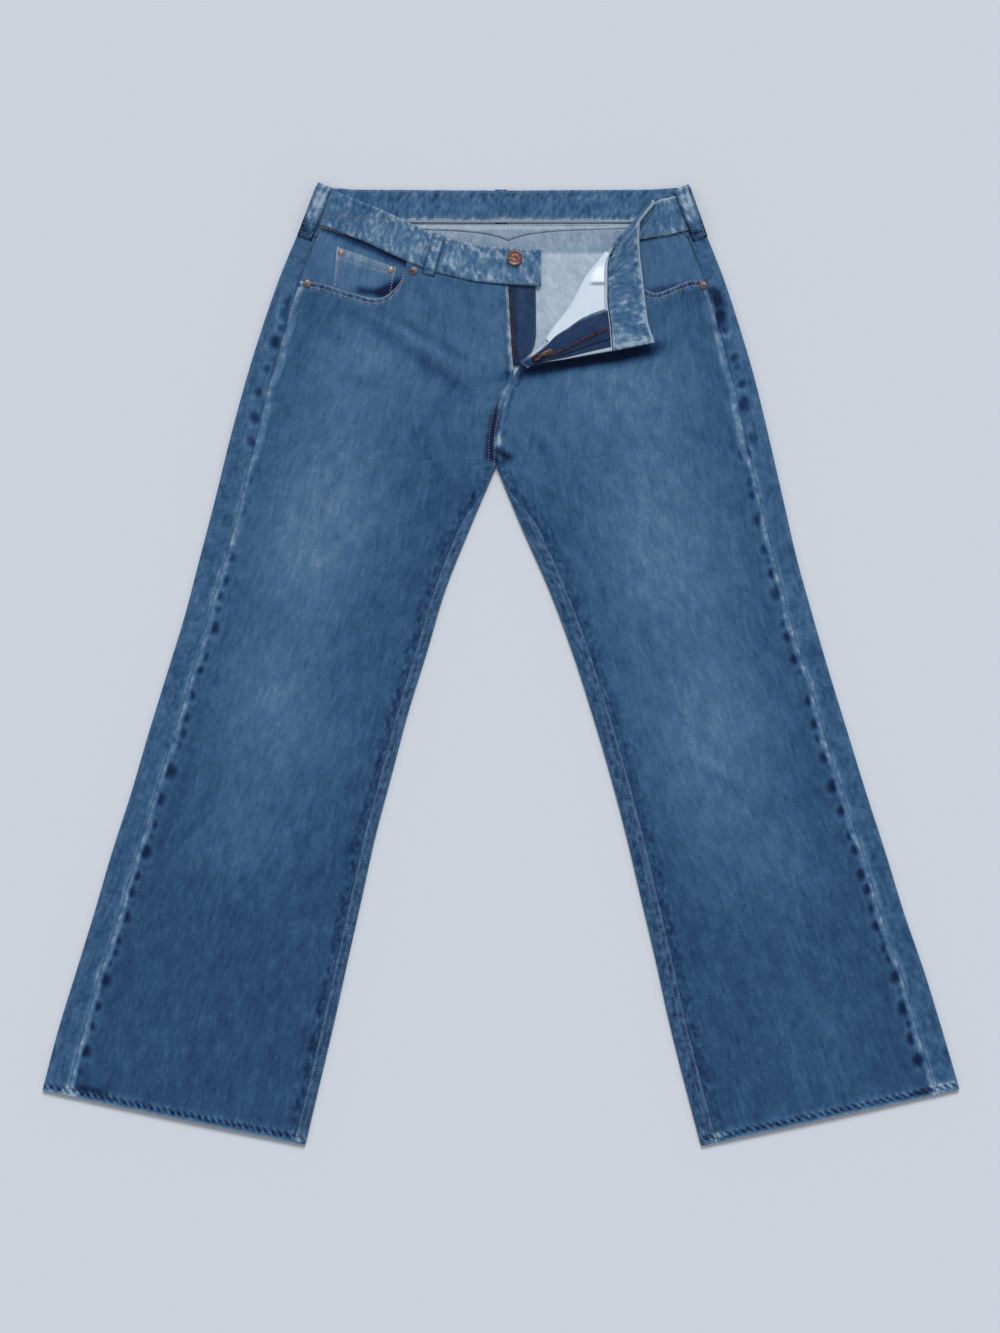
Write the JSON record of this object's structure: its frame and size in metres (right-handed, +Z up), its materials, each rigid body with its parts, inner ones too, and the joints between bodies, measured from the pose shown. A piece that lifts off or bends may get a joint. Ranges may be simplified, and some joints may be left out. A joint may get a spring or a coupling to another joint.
{
  "type": "bootcut jeans",
  "caption": "Pair of washed denim bootcut jeans laid flat, front up, with the fly open and one front corner folded outward.",
  "frame": {"origin": "centre of the bounding box at its base, where the cloth rests", "axes": "+Z up from the surface, +Y from the hems to the waist, +X towards the wearer's left leg"},
  "size_m": [1.008, 1.058, 0.0238],
  "materials": {
    "denim": "mid-blue stonewashed twill, matt",
    "dark_denim": "dark blue twill, matt",
    "zip_tape": "fine woven tape, matt",
    "pocketing": "pale cotton plain weave, matt",
    "copper": "aged copper, worn satin"
  },
  "bodies": {
    "jeans": {"back_right": "denim", "back_left": "denim", "yoke_right": "denim", "yoke_left": "denim", "front_right": "denim", "front_left": "denim", "waistband": "denim", "fly_facing": "dark_denim", "fly_shield": "dark_denim", "zip_tape_left": "zip_tape", "zip_tape_right": "zip_tape", "zip_slider": "copper", "waist_button": "copper", "pocket_facing_right": "denim", "pocket_facing_left": "denim", "coin_pocket": "denim", "pocket_bag_left": "pocketing", "back_pocket_right": "denim", "back_pocket_left": "denim", "belt_loop_front_right": "denim", "belt_loop_side_right": "denim", "belt_loop_back": "denim", "belt_loop_side_left": "denim", "belt_loop_front_left": "denim", "rivet_side_right": "copper", "rivet_front_right": "copper", "rivet_side_left": "copper", "rivet_coin_side": "copper", "rivet_coin_front": "copper"},
    "pull": {"zip_pull": "copper"}
  },
  "joints": [
    {"name": "pull_hinge", "type": "hinge", "parent": "jeans", "child": "pull", "pos_m": [0.04235, 0.33723, 0.02059], "axis": [0.4176, -0.9086, 0], "range_deg": [0, 150]}
  ]
}
